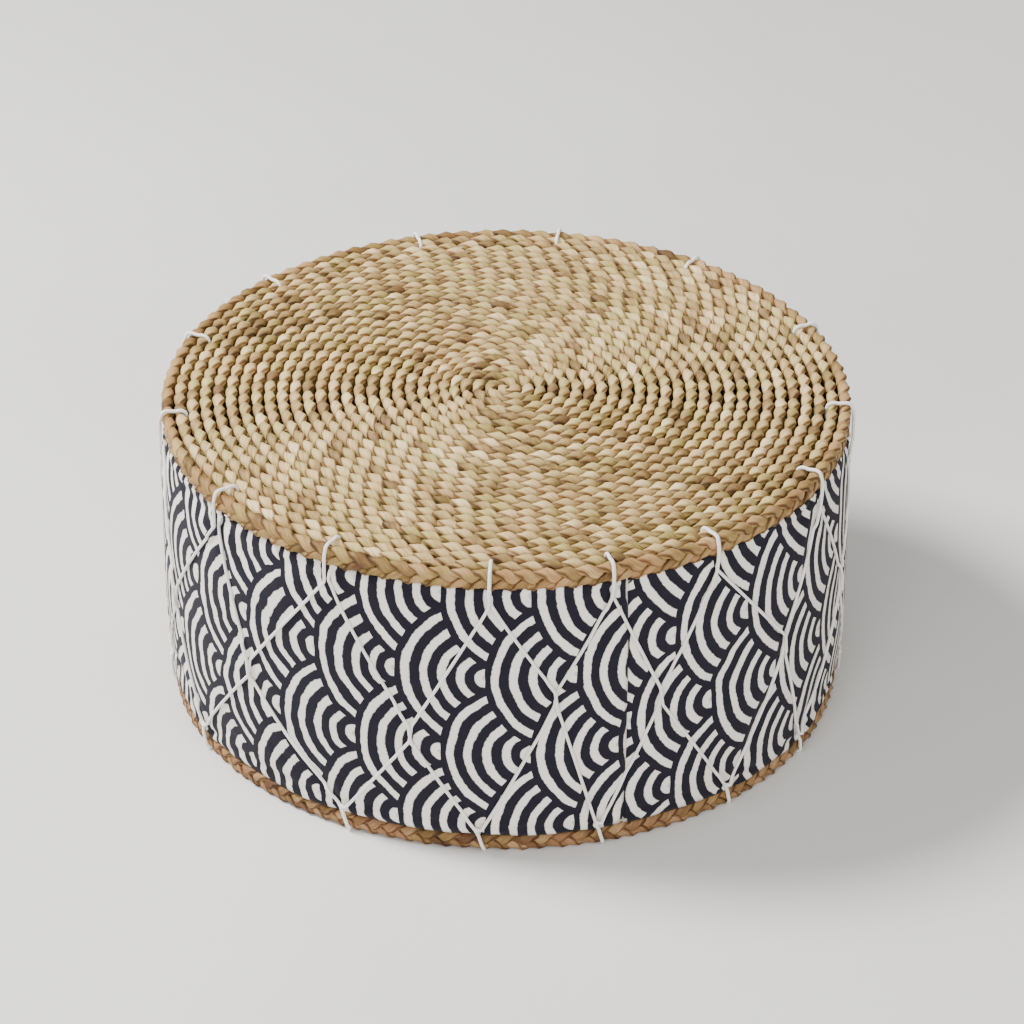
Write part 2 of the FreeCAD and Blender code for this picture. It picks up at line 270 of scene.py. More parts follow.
def plant_fibre(name, tones, seed):
    """Dry flattened stems: one tone for each stretch of a stem, fine fibres along it, blotches, a green
    or pink cast here and there, and painted shade that darkens each strand towards its edges, where it
    meets its neighbours."""
    n = Nodes(name)
    along, across, through = n.attribute("strand")
    ring_x = n.math("MULTIPLY", across, FIBRE_ROUND)
    ring_y = n.math("ADD", n.math("MULTIPLY", through, FIBRE_ROUND), seed * 7)
    fibres = n.noise(n.vector(n.math("MULTIPLY", along, FIBRE_RATE), ring_x, ring_y), 1, 4, 0.6)
    blotch_x = n.math("MULTIPLY", across, BLOTCH_ROUND)
    blotch = n.noise(n.vector(n.math("MULTIPLY", along, BLOTCH_RATE), blotch_x, seed + 5), 1, 3, 0.55)
    lighter = n.math("MULTIPLY", n.math("SUBTRACT", blotch, 0.5), BLOTCH_TONE)
    colour = n.ramp(n.math("ADD", n.value("tone"), lighter), tones)
    cast = n.noise(n.vector(n.math("MULTIPLY", along, CAST_RATE), seed, n.value("tone")), 1, 1)
    colour = n.mix(1.0, colour, n.ramp(cast, CASTS), "MULTIPLY")
    dark = n.mix(1.0, colour, FIBRE_SHADE, "MULTIPLY")
    colour = n.mix(n.ramp(fibres, [(0.35, WHITE), (0.62, BLACK)]), colour, dark)
    # painted shade: darken the colour towards the strand's edges, where it dips against its neighbours, for
    # the shade in the gaps between stems
    edge = n.mix(1.0, colour, EDGE_PAINTED_SHADE, "MULTIPLY")
    flatness = n.math("ABSOLUTE", through)
    colour = n.mix(n.ramp(flatness, [(0.12, WHITE), (0.7, BLACK)]), colour, edge)
    n.bump(n.math("ADD", fibres, n.math("MULTIPLY", blotch, 0.8)), 0.5, 0.0006)
    rough = n.math("ADD", 0.45, n.math("MULTIPLY", fibres, 0.25))
    return n.finish(colour, rough, 0.22)


FAN_COLUMN = 0.0312      # the print: spacing of the columns of fans
FAN_PITCH = 0.127        # spacing of the fans in one column, which is twice their radius
FAN_FIRST = (0.0341, 0.0395)     # the middle of the first fan, from the seam and the floor
FAN_SLOPE = 0.0114       # the columns climb this much for each metre round the band, as it is cut askew
FAN_DOT = 0.121          # radius of the half dot, and then the rings, as shares of the fan's radius
FAN_RING = 0.1
FAN_CREAM = 0.43         # share of each ring that is left unprinted
FAN_EDGE = 18            # how sharp the edge of the ink is
UNEVEN_EDGE = 0.022      # and how far it wanders, as a share of the fan's radius
CROOKED = (0.0045, 0.0075)       # how far the print is drawn out of place, and how much more at the folds
CROOKED_RATE = 38
FOLDS_AT = (1.27, 0.09)          # where the cloth is drawn into folds, round the band from the seam
THREAD_RATE = 7800               # radians of weave for each metre
CREAM = (0.86, 0.815, 0.745)
CREAM_DULL = (0.73, 0.685, 0.62)
NAVY = (0.009, 0.008, 0.015)
NAVY_WORN = (0.021, 0.0185, 0.027)


def fan_distance(n, x, y):
    """Distance from the middle of the fan that shows at a point, as a share of its radius.  Fans stand
    in columns, every other column half a pitch up, and each column covers those on its left."""
    whole = n.math("FLOOR", x)
    part = n.math("SUBTRACT", x, whole)
    odd = n.math("FLOORED_MODULO", whole, 2)
    heights = []
    for shift in (n.math("MULTIPLY", odd, 0.5), n.math("MULTIPLY", n.math("SUBTRACT", 1, odd), 0.5)):
        up = n.math("ADD", n.math("SUBTRACT", y, shift), 0.5)
        off = n.math("SUBTRACT", n.math("SUBTRACT", up, n.math("FLOOR", up)), 0.5)
        heights.append(n.math("MULTIPLY", off, 2))
    shown = None
    for column in (3, 2, 1, 0):
        offset = n.math("MULTIPLY", n.math("SUBTRACT", 2 - column, part), 2 * FAN_COLUMN / FAN_PITCH)
        height = heights[column % 2]
        square = n.math("ADD", n.math("MULTIPLY", offset, offset), n.math("MULTIPLY", height, height))
        distance = n.math("SQRT", square)
        if shown is None:
            shown = distance
            continue
        inside = n.math("LESS_THAN", distance, 1.0)
        shown = n.math("ADD", shown, n.math("MULTIPLY", inside, n.math("SUBTRACT", distance, shown)))
    return shown


def printed_cotton():
    """Plain-weave cotton printed with overlapping fans of rings, a little uneven as if drawn by hand."""
    n = Nodes("printed_cotton")
    s, z, _ = n.attribute("cloth")
    where = n.vector(s, z, 0)
    shift = n.math("SUBTRACT", n.noise(where, CROOKED_RATE, 2.0), 0.5)
    lift = n.math("SUBTRACT", n.noise(n.vector(s, z, 3.0), CROOKED_RATE, 2.0), 0.5)
    away = n.math("DIVIDE", n.math("SUBTRACT", s, FOLDS_AT[0]), FOLDS_AT[1])
    folds = n.math("EXPONENT", n.math("MULTIPLY", -1, n.math("MULTIPLY", away, away)))
    pull = n.math("ADD", CROOKED[0], n.math("MULTIPLY", folds, CROOKED[1]))
    across = n.math("ADD", s, n.math("MULTIPLY", shift, pull))
    x = n.math("DIVIDE", n.math("SUBTRACT", across, FAN_FIRST[0]), FAN_COLUMN)
    level = n.math("ADD", z, n.math("MULTIPLY", lift, pull))
    level = n.math("ADD", level, n.math("MULTIPLY", s, FAN_SLOPE))
    y = n.math("DIVIDE", n.math("SUBTRACT", level, FAN_FIRST[1]), FAN_PITCH)
    uneven = n.math("MULTIPLY", n.math("SUBTRACT", n.noise(where, 330, 2.0), 0.5), UNEVEN_EDGE)
    distance = n.math("ADD", fan_distance(n, x, y), uneven)
    rings = n.math("DIVIDE", n.math("SUBTRACT", n.math("MAXIMUM", distance, 0.03), FAN_DOT), 2 * FAN_RING)
    part = n.math("SUBTRACT", rings, n.math("FLOOR", rings))
    gap = n.math("SUBTRACT", FAN_CREAM / 2, n.math("ABSOLUTE", n.math("SUBTRACT", part, 0.75)))
    inked = n.math("SUBTRACT", 0.5, n.math("MULTIPLY", gap, FAN_EDGE))
    ink = n.add("ShaderNodeClamp")
    n.put(ink.inputs[0], inked)
    mottle = n.noise(where, 90, 4, 0.6)
    weave = n.math("MULTIPLY", n.math("SINE", n.math("MULTIPLY", s, THREAD_RATE)),
                   n.math("SINE", n.math("MULTIPLY", z, THREAD_RATE)))
    cream = n.mix(mottle, CREAM, CREAM_DULL)
    navy = n.mix(n.math("MULTIPLY", n.noise(where, 1500, 2), mottle), NAVY, NAVY_WORN)
    n.bump(n.math("ADD", n.math("MULTIPLY", weave, 0.35), n.noise(where, 420, 3)), 0.35, 0.0004)
    return n.finish(n.mix(ink.outputs[0], cream, navy), 0.9, 0.12, 0.04)


PLY_RATE = 1900          # radians of twist for each metre of cord
# painted shade: lighter on the plies' crowns, darker in the grooves between them
PLY_PAINTED_SHADE_COLOURS = ((0.80, 0.77, 0.72), (0.86, 0.84, 0.80))
FUZZ_COLOUR = (0.70, 0.66, 0.60)
FUZZ_RATE = 900


def twisted_cord():
    """Off-white cotton cord, three plies, slightly fuzzy, with painted shade: each ply lighter on its crown
    and darker in the grooves between plies.
    """
    n = Nodes("lacing_cord")
    along, across, through = n.attribute("strand")
    angle = n.math("ARCTAN2", through, across)
    twist = n.math("ADD", n.math("MULTIPLY", along, PLY_RATE), n.math("MULTIPLY", angle, 3))
    plies = n.math("SINE", twist)
    fuzz_x = n.math("MULTIPLY", along, FUZZ_RATE)
    fuzz = n.noise(n.vector(fuzz_x, n.math("MULTIPLY", across, 2), through), 1, 3)
    # painted shade: the colour follows the twist, lighter on the plies' crowns and darker in the grooves
    # between them
    colour = n.mix(n.math("MULTIPLY", n.math("ADD", plies, 1), 0.5), *PLY_PAINTED_SHADE_COLOURS)
    colour = n.mix(n.math("MULTIPLY", fuzz, 0.3), colour, FUZZ_COLOUR)
    n.bump(n.math("ADD", n.math("MULTIPLY", plies, 0.5), fuzz), 0.3, 0.0002)
    return n.finish(colour, 0.8, 0.25, 0.15)


def woven(name, light, dark, thread):
    """Plain-weave cloth in two close shades."""
    n = Nodes(name)
    x, y, z = n.parts(n.place())
    rate = 2 * math.pi / thread
    waves = [n.math("SINE", n.math("MULTIPLY", axis, rate)) for axis in (x, y, z)]
    weave = n.math("ADD", n.math("MULTIPLY", waves[0], waves[1]), n.math("MULTIPLY", waves[2], 0.5))
    slubs = n.noise(n.place(), 240, 4, 0.6)
    n.bump(n.math("ADD", weave, slubs), 0.4, 0.0003)
    return n.finish(n.mix(slubs, light, dark), 0.9, 0.2, 0.1)


def spun(name, light, dark):
    """Thread with a fine twist, with painted shade: lighter on the crowns of the twist and darker in its
    grooves.
    """
    n = Nodes(name)
    x, y, z = n.parts(n.place())
    twist = n.math("SINE", n.math("MULTIPLY", n.math("ADD", n.math("ADD", x, y), z), 5200))
    n.bump(twist, 0.4, 0.0002)
    # painted shade: the colour follows the twist, darker in its grooves
    return n.finish(n.mix(n.math("MULTIPLY", n.math("ADD", twist, 1), 0.5), dark, light), 0.7, 0.3, 0.1)


def cellular(name, light, dark, scale):
    """Foam or wadding: small random cells under soft blotches."""
    n = Nodes(name)
    cells = n.cells(n.place(), scale)
    blotch = n.noise(n.place(), 40, 3)
    n.bump(cells, 0.6, 0.0008)
    return n.finish(n.mix(n.math("MULTIPLY", cells, blotch), light, dark), 0.95, 0.15)


# colours of dry stems from the darkest tone to the lightest: the seat, its rim and the base. The rim's are
# a darker, browner copy of the seat's: mostly painted shade for its outer face, which the light from above
# leaves shaded, and partly the rim's own slightly browner colour.
STRAW = [(0.0, (0.20, 0.12, 0.047)), (0.2, (0.38, 0.265, 0.108)), (0.4, (0.51, 0.38, 0.172)),
         (0.6, (0.61, 0.465, 0.222)), (0.8, (0.70, 0.53, 0.272)), (1.0, (0.86, 0.69, 0.40))]
# painted shade: the rim's stems are darkened as if its face were in shade, partly also for its own browner
# colour
RIM_PAINTED_SHADE_STRAW = [(0.0, (0.134, 0.069, 0.023)), (0.2, (0.25, 0.152, 0.053)), (0.4, (0.335, 0.214, 0.082)),
             (0.6, (0.405, 0.264, 0.11)), (0.8, (0.465, 0.295, 0.135)), (1.0, (0.56, 0.388, 0.192))]
BROWN_STRAW = [(0.0, (0.115, 0.055, 0.021)), (0.3, (0.22, 0.118, 0.049)), (0.6, (0.32, 0.182, 0.084)),
               (0.85, (0.38, 0.225, 0.12)), (1.0, (0.46, 0.30, 0.155))]


# ---- braid ----

COIL_START = -0.3                # turns
TAIL_END = 0.978                 # the outermost row ends after this share of its turn
COIL_POINTS = 40000              # on the coil's line before it is evenly spaced
STEP_START = (0.72, 0.92)        # a row is round up to this share of its turn, then steps out: inner, outer
SEAT_TAIL_AZIMUTH = 272.0
BASE_TAIL_AZIMUTH = 60.0
# how much narrower a strand is where it dips between its neighbours, and how far it sways sideways
COIL_SHAPE = (0.46, 0.34)
RIM_SHAPE = (0.17, 0.85)
CREST_PLUMP = 0.36               # a strand is this much thicker where it turns over the braid's edge
THINNEST = 0.3                   # of a full strand, where a row runs out
SPARE = 0.0003                   # a strand may be this much wider than its row's share
SETTLED = 0.03                   # share of its rise that a strand loses here and there
STRAND_POWER = 2.2
STRAND_SIDES = 10


def coil_line(tail_azimuth, spacing):
    """The centre line of the coil inside the rim braid, at even spacing: length so far, azimuth, radius
    and row width, and no length for a closed line."""
    last = ROWS - 2
    turns = np.linspace(COIL_START, last + TAIL_END, COIL_POINTS)
    whole = np.floor(turns)
    part = turns - whole
    start = np.interp(whole, (0, last), STEP_START)
    step = smooth((part - start) / (1 - start))
    roundness = smooth((whole - 1) / 6)
    radius = ROW_PITCH * (whole + 0.5 + step * roundness + part * (1 - roundness))
    width = np.where(whole == last, ROW_PITCH * (1 - step), ROW_PITCH)
    radius = np.where(whole == last, RADIUS - ROW_PITCH - width / 2, radius)
    azimuth = np.radians(tail_azimuth + 360 * turns)
    moves = np.hypot(np.diff(radius), np.diff(azimuth) * (radius[1:] + radius[:-1]) / 2)
    length = np.concatenate([[0], np.cumsum(moves)])
    even = np.arange(0, length[-1], spacing)
    return even, *(np.interp(even, length, values) for values in (azimuth, radius, width)), None


def rim_line(outer_radius, spacing):
    """The centre line of a rim braid, as coil_line gives it."""
    radius = outer_radius - ROW_PITCH / 2
    loop = 2 * math.pi * radius
    count = round(loop / spacing)
    along = np.arange(count) / count * loop
    return along, along / radius, np.full(count, radius), np.full(count, ROW_PITCH), loop


def braid(name, line, low, high, loop_pitch, half_width, half_thickness, slim, sway, dome, flipped,
          material, seed):
    """Three strands plaited flat, laid on edge along a line."""
    along, azimuth, radius, width, loop = line
    period = 3 * loop_pitch
    if loop:
        period = loop / round(loop / period)
    outward = np.stack([np.cos(azimuth), np.sin(azimuth), np.zeros_like(azimuth)], 1)
    up = np.array([0.0, 0.0, 1.0])
    share = np.clip(width / ROW_PITCH, THINNEST, 1)
    middle = (low + high) / 2
    rise = dome * (1 - (radius / RADIUS) ** 2)
    uneven = 0.35 * wander(along, 0.16, seed, loop)
    strands = []
    for strand in range(3):
        own = seed + 10 * strand
        shift = 0.25 * wander(along, 0.045, own + 1, loop)
        phase = 2 * math.pi * (along / period + strand / 3) + uneven + shift
        crest = np.sin(phase) ** 2
        thick = half_thickness * share * (1 + CREST_PLUMP * crest)
        thick *= 1 + 0.08 * wander(along, 0.02, own + 2, loop)
        wide = half_width * (1 - slim * (1 - crest)) * (1 + 0.08 * wander(along, 0.03, own + 3, loop))
        wide = np.minimum(wide, half_width * share + SPARE)
        lean = math.pi / 2 * (1 + np.cos(phase))
        reach = np.hypot(wide * np.cos(lean), thick * np.sin(lean))
        spread = np.hypot(wide * np.sin(lean), thick * np.cos(lean))
        settled = 1 - SETTLED * (1 + wander(along, 0.025, own + 4, loop))
        height = ((high - low) / 2 - reach) * np.sin(phase) * settled
        depth = -sway * np.maximum(width / 2 - spread, 0) * np.sin(2 * phase)
        path = outward * (radius + depth)[:, None] + up * (middle + rise + height)[:, None]
        normal = outward * np.cos(lean)[:, None] + up * np.sin(lean)[:, None]
        if loop:
            tangent = unit(np.roll(path, -1, 0) - np.roll(path, 1, 0))
        else:
            tangent = unit(np.gradient(path, axis=0))
        normal = unit(normal - tangent * np.sum(normal * tangent, 1)[:, None])
        side = np.cross(tangent, normal)
        tone = (0.5 + 0.26 * wander(along, 0.25, own + 5, loop)
                + 0.4 * wander(along, period / 2, own + 6, loop))
        if flipped:
            turn_over = np.array([-1, 1, -1])
            path = (path - up * middle) * turn_over + up * middle
            normal = normal * turn_over
            side = side * turn_over
        strands.append(tube(f"{name}_strand_{strand + 1}", path, side, normal, wide, thick,
                            STRAND_POWER, STRAND_SIDES, material, along, tone, closed=bool(loop)))
    return strands


# ---- printed band ----

SEAM_AZIMUTH = 290.4
COLUMNS = 280            # of the simulated grid; the finished one is twice as fine each way
LEVELS = 40
EDGE_RADIUS = 0.2465
BULGE = 0.0055
BULGE_POWER = 3.5        # the higher, the quicker it turns in at its edges
GATHER = 0.0011          # unevenness of the sewn edges
SAG_LIMIT = 0.0022       # the simulation may move a point this far from the plain bulge
DENT_DEPTH = 0.0006      # the cords press this deep
DENT_REACH = 0.004
SEAM_DEPTH = 0.0016      # the seam pulls the cloth in this deep
SEAM_REACH = 0.0032
PUCKER_DEPTH = 0.0016
PUCKER_REACH = 0.026
PUCKER_FOLDS = 9
PUCKER_GAP = 0.012       # the puckers fade in over this distance from the stitch
CLOTH = 0.0012
FRAMES = 18
COVER_SPAN = (COVER_LOW.z - 0.0016, COVER_HIGH.z + 0.0030)       # its edges reach in under the braids


def band_grid(columns, levels):
    """Azimuth in degrees from the seam round to the seam again, and height, for a grid of points."""
    azimuths = SEAM_AZIMUTH + np.linspace(0, 360, columns + 1)
    heights = np.linspace(*COVER_SPAN, levels + 1)
    return np.meshgrid(azimuths, heights)


def plain_bulge(heights):
    """Radius of the band, which turns in quickly at its edges."""
    share = (heights - COVER_SPAN[0]) / (COVER_SPAN[1] - COVER_SPAN[0])
    return EDGE_RADIUS + BULGE * (1 - np.abs(2 * share - 1) ** BULGE_POWER)


def cylinder_points(azimuths, heights, radii):
    angles = np.radians(azimuths)
    return np.stack([radii * np.cos(angles), radii * np.sin(angles), heights], -1)


def simulated(points, faces, pinned):
    """Where the band's points come to rest when the filling presses on it from inside."""
    band = mesh_object("band_before", points, faces, None)
    pins = band.vertex_groups.new(name="sewn")
    pins.add(pinned, 1.0, "REPLACE")
    cloth = band.modifiers.new("cloth", "CLOTH")
    settings = cloth.settings
    settings.quality = 5
    settings.mass = 0.15
    settings.tension_stiffness = 30
    settings.compression_stiffness = 30
    settings.shear_stiffness = 15
    settings.bending_stiffness = 1.5
    settings.use_pressure = True
    settings.uniform_pressure_force = 2.5
    settings.shrink_min = -0.012
    settings.vertex_group_mass = "sewn"
    settings.effector_weights.gravity = 0
    cloth.point_cache.frame_start = 1
    cloth.point_cache.frame_end = FRAMES
    scene = bpy.context.scene
    for step in range(1, FRAMES + 1):
        scene.frame_set(step)
    rested = band.evaluated_get(bpy.context.evaluated_depsgraph_get()).to_mesh()
    result = np.zeros(len(rested.vertices) * 3)
    rested.vertices.foreach_get("co", result)
    scene.frame_set(1)
    bpy.data.objects.remove(band)
    return result.reshape(-1, 3)


def twice_as_fine(values):
    """A grid with a smoothly interpolated row between each two, and a column likewise."""
    for _ in range(2):
        padded = np.concatenate([2 * values[:1] - values[1:2], values, 2 * values[-1:] - values[-2:-1]])
        between = (9 * (padded[1:-2] + padded[2:-1]) - padded[:-3] - padded[3:]) / 16
        fine = np.empty((2 * len(values) - 1, values.shape[1]))
        fine[0::2] = values
        fine[1::2] = between
        values = fine.T
    return values


def band_radii():
    """Radius of the band at each point of the fine grid, before the cords press on it."""
    azimuths, heights = band_grid(COLUMNS, LEVELS)
    plain = plain_bulge(heights)
    moved = np.zeros_like(plain)
    start = plain.copy()
    angle = azimuths[0] - SEAM_AZIMUTH
    for row, seed in ((0, 301), (-1, 302)):
        start[row] += GATHER * (wander(angle, 9, seed, 360) + 0.7 * wander(angle, 4, seed + 5, 360))
    index = np.arange(plain.size).reshape(plain.shape)
    pinned = np.unique(np.concatenate([index[0], index[-1], index[:, 0], index[:, -1]])).tolist()
    faces = grid_faces(LEVELS + 1, COLUMNS + 1)
    rest = simulated(cylinder_points(azimuths, heights, start), faces, pinned)
    rest_radii = np.hypot(rest[:, 0], rest[:, 1]).reshape(plain.shape)
    change = rest_radii - plain
    change -= np.median(change, axis=1, keepdims=True)
    moved = SAG_LIMIT * np.tanh(change / SAG_LIMIT)
    return twice_as_fine(plain + moved)


# ---- lacing ----

SEAT_STITCHES = [23.5, 54.5, 81, 107, 138, 162, 189, 216.5, 241, 268, 287.5, 306, 332.5, 355.5]
BASE_STITCHES = [26, 53, 82, 109, 136, 163, 187, 209.5, 243.5, 266.5, 286, 310, 329.5, 355.5]
# where the cords cross after each stitch: azimuth, and height in metres
CROSSINGS = [(39.5, 0.118), (68, 0.111), (94.5, 0.121), (122.5, 0.110), (150, 0.117), (175, 0.113),
             (200, 0.108), (225, 0.108), (255.5, 0.098), (278.5, 0.131), (296, 0.119), (321.5, 0.119),
             (344, 0.114), (370, 0.116)]
CORD_RADIUS = 0.0012     # where it is drawn tight across the cover
CORD_FULLER = 0.12       # it is this much thicker at the stitches
FULLER_FROM = 0.016      # that starts this far from the braids
FULLER_OVER = 0.008      # and grows over this height
ON_COVER = 0.0010        # a cord's centre above the dented band
OVER_CORD = 0.0029       # and where it lies over the other cord
TWIST_HALF = 0.0068      # the cords are twisted round each other over twice this height
TWIST_SIDE = 0.0008      # and pass this far to each side of the place where they cross
HOLE = RADIUS - 2 * ROW_PITCH    # a stitch goes down between the second and the third row
RUN_STEP = 0.004         # between the points of a run that lies on the cover
CORD_STEP = 0.0011       # between the rings of a cord's tube
CORD_SIDES = 8
KNOT_SIZE = 0.00135

# stitches as (step along the rim, radius or None on the cover, height, height above the cover)
UNDER_SEAT = SEAT_LOW.z
TOP = SEAT_HIGH.z
BASE_TOP = BASE_HIGH.z
SEAT_STITCH = [(-0.0004, None, UNDER_SEAT - 0.011, OVER_CORD),
               (0.0000, RADIUS + 0.0018, UNDER_SEAT + 0.001, 0),
               (0.0002, RADIUS + 0.0017, UNDER_SEAT + 0.010, 0),
               (0.0003, RADIUS - 0.0004, TOP + 0.0008, 0),
               (0.0004, RADIUS - 0.0045, TOP + 0.0017, 0),
               (0.0004, RADIUS - 0.0093, TOP + 0.0006, 0),
               (0.0004, RADIUS - 0.0135, TOP + 0.0015, 0),
               (0.0004, HOLE + 0.0012, TOP - 0.0004, 0),
               (0.0004, HOLE, TOP - 0.006, 0),
               (0.0006, HOLE, UNDER_SEAT, 0),
               (0.0012, RADIUS - 0.012, UNDER_SEAT - 0.0016, 0),
               (0.0016, RADIUS - 0.004, UNDER_SEAT - 0.0024, 0),
               (0.0010, None, UNDER_SEAT - 0.010, ON_COVER)]
BASE_STITCH = [(-0.0024, None, BASE_TOP + 0.006, OVER_CORD),
               (-0.0006, BASE_RADIUS + 0.0022, BASE_TOP + 0.0015, 0),
               (0.0008, BASE_RADIUS + 0.0018, BASE_TOP - 0.004, 0),
               (0.0024, BASE_RADIUS + 0.0015, 0.0045, 0),
               (0.0032, BASE_RADIUS - 0.0002, 0.0019, 0),
               (0.0034, RADIUS - 0.008, 0.0016, 0),
               (0.0034, HOLE + 0.0012, 0.0018, 0),
               (0.0032, HOLE, 0.007, 0),
               (0.0028, HOLE, BASE_TOP - 0.0005, 0),
               (0.0010, RADIUS - 0.010, BASE_TOP + 0.0012, 0),
               (-0.0012, RADIUS - 0.002, BASE_TOP + 0.0018, 0),
               (-0.0036, None, BASE_TOP + 0.0044, ON_COVER),
               (-0.0024, None, BASE_TOP + 0.0080, OVER_CORD),
               (0.0008, None, BASE_TOP + 0.0064, OVER_CORD + 0.0012),
               (0.0030, None, BASE_TOP + 0.0090, OVER_CORD - 0.0012)]


def cord_stations(first_at_seat):
    """A cord's route from its first stitch all the way round: (azimuth, radius or None, height, lift)."""
    count = len(SEAT_STITCHES)
    stitches = []
    for i in range(count + 1):
        at_seat = (i % 2 == 0) == first_at_seat
        azimuth = (SEAT_STITCHES if at_seat else BASE_STITCHES)[i % count] + 360 * (i // count)
        shape = SEAT_STITCH if at_seat else BASE_STITCH
        stitches.append([(azimuth + math.degrees(step / RADIUS), radius, height, lift)
                         for step, radius, height, lift in shape])
    route = [stitches[0][-1]]
    for i in range(count):
        front = (i % 2 == 0) == first_at_seat
        crossing, level = CROSSINGS[i]
        crossing += 360 if crossing < SEAT_STITCHES[i] - 180 else 0
        drop = TWIST_HALF if front else -TWIST_HALF
        side = math.degrees(TWIST_SIDE / RADIUS)
        lift = OVER_CORD if front else ON_COVER
        route += run_between(route[-1], (crossing - side, None, level + drop, lift))
        route += run_between(route[-1], (crossing + side, None, level - drop, lift))
        route += run_between(route[-1], stitches[i + 1][0])
        route += stitches[i + 1][1:]
    return route


def run_between(start, end):
    """A straight run on the cover, in steps of a few millimetres, with its end."""
    span = math.hypot(math.radians(end[0] - start[0]) * RADIUS, end[2] - start[2])
    steps = max(1, round(span / RUN_STEP))
    run = []
    for i in range(1, steps + 1):
        share = i / steps
        rise = end[3] if share > 0.85 or span < 0.03 else ON_COVER
        azimuth = start[0] + (end[0] - start[0]) * share
        height = start[2] + (end[2] - start[2]) * share
        run.append((azimuth, None, height, rise))
    return run


def looked_up(radii, azimuth, height):
    """Radius of the band at a place, from the fine grid."""
    rows, columns = radii.shape
    along = ((azimuth - SEAM_AZIMUTH) % 360) / 360 * (columns - 1)
    up = np.clip((height - COVER_SPAN[0]) / (COVER_SPAN[1] - COVER_SPAN[0]), 0, 0.9999) * (rows - 1)
    i, j = int(up), min(int(along), columns - 2)
    part_up, part_along = up - i, along - j
    low = radii[i, j] * (1 - part_along) + radii[i, j + 1] * part_along
    high = radii[i + 1, j] * (1 - part_along) + radii[i + 1, j + 1] * part_along
    return low * (1 - part_up) + high * part_up


def pressed(radii, routes):
    """The band with a groove along its seam and under each cord, and small puckers round each stitch."""
    azimuths, heights = band_grid(2 * COLUMNS, 2 * LEVELS)
    groove = np.zeros_like(radii)
    for route in routes:
        for a, b in zip(route, route[1:]):
            if a[1] is not None or b[1] is not None:
                continue
            middle = (a[0] + b[0]) / 2
            turn = (azimuths - middle + 180) % 360 - 180
            near = np.abs(turn[0]) < 5
            across = np.radians(turn[:, near]) * RADIUS
            half = math.radians(b[0] - a[0]) / 2 * RADIUS
            rise = (b[2] - a[2]) / 2
            up = heights[:, near] - (a[2] + b[2]) / 2
            share = np.clip((across * half + up * rise) / (half * half + rise * rise), -1, 1)
            gap = (across - share * half) ** 2 + (up - share * rise) ** 2
            groove[:, near] = np.maximum(groove[:, near], np.exp(-gap / (2 * DENT_REACH ** 2)))
    pucker = np.zeros_like(radii)
    for level, places in ((COVER_SPAN[1], SEAT_STITCHES), (COVER_SPAN[0], BASE_STITCHES)):
        for number, place in enumerate(places):
            across = np.radians((azimuths - place + 180) % 360 - 180) * RADIUS
            up = np.abs(heights - level)
            away = np.hypot(across, up)
            folds = np.cos(np.arctan2(across, up + 0.002) * PUCKER_FOLDS + number)
            pucker += folds * np.exp(-away / PUCKER_REACH) * smooth(away / PUCKER_GAP)
    from_seam = np.radians(180 - np.abs(azimuths - SEAM_AZIMUTH - 180)) * RADIUS
    seam = np.exp(-(from_seam / SEAM_REACH) ** 2)
    return radii - DENT_DEPTH * groove + PUCKER_DEPTH * pucker - SEAM_DEPTH * seam


def placed(route, radii):
    """The route's points in the row frame."""
    points = []
    for azimuth, radius, height, lift in route:
        reach = looked_up(radii, azimuth, height) + lift if radius is None else radius
        angle = math.radians(azimuth)
        points.append((reach * math.cos(angle), reach * math.sin(angle), height))
    return np.array(points)


def softened(points, spacing, reach):
    """The line at even spacing, with its corners eased over the reach."""
    moves = np.linalg.norm(np.diff(points, axis=0), axis=1)
    length = np.concatenate([[0], np.cumsum(moves)])
    even = np.linspace(0, length[-1], int(length[-1] / spacing))
    line = np.stack([np.interp(even, length, points[:, k]) for k in range(3)], 1)
    half = int(3 * reach / spacing)
    weights = np.exp(-(np.arange(-half, half + 1) * spacing / reach) ** 2 / 2)
    weights /= weights.sum()
    ends = (np.repeat(line[:1], half, 0), line, np.repeat(line[-1:], half, 0))
    longer = np.concatenate(ends)
    return even, np.stack([np.convolve(longer[:, k], weights, "valid") for k in range(3)], 1)


def frames_along(path):
    """A side and an outward direction at each point that turn as little as they can."""
    tangent = unit(np.gradient(path, axis=0))
    out = np.array([path[0][0], path[0][1], 0.0])
    outs = np.empty_like(path)
    for i, direction in enumerate(tangent):
        out = out - direction * (out @ direction)
        out /= math.sqrt(out @ out)
        outs[i] = out
    return np.cross(tangent, outs), outs


def cord_tube(name, points, material, seed, reach=0.0011):
    """A round cord of slightly uneven thickness along a line, fuller near the two braids."""
    along, path = softened(points, CORD_STEP, reach)
    side, out = frames_along(path)
    from_middle = np.abs(path[:, 2] - TOP / 2)
    on_braid = smooth((from_middle - (TOP - BASE_TOP) / 2 + FULLER_FROM) / FULLER_OVER)
    size = CORD_RADIUS * (1 + CORD_FULLER * on_braid + 0.05 * wander(along, 0.02, seed))
    tone = np.zeros(len(along))
    return tube(name, path, side, out, size, size * 0.94, 2.0, CORD_SIDES, material, along, tone)


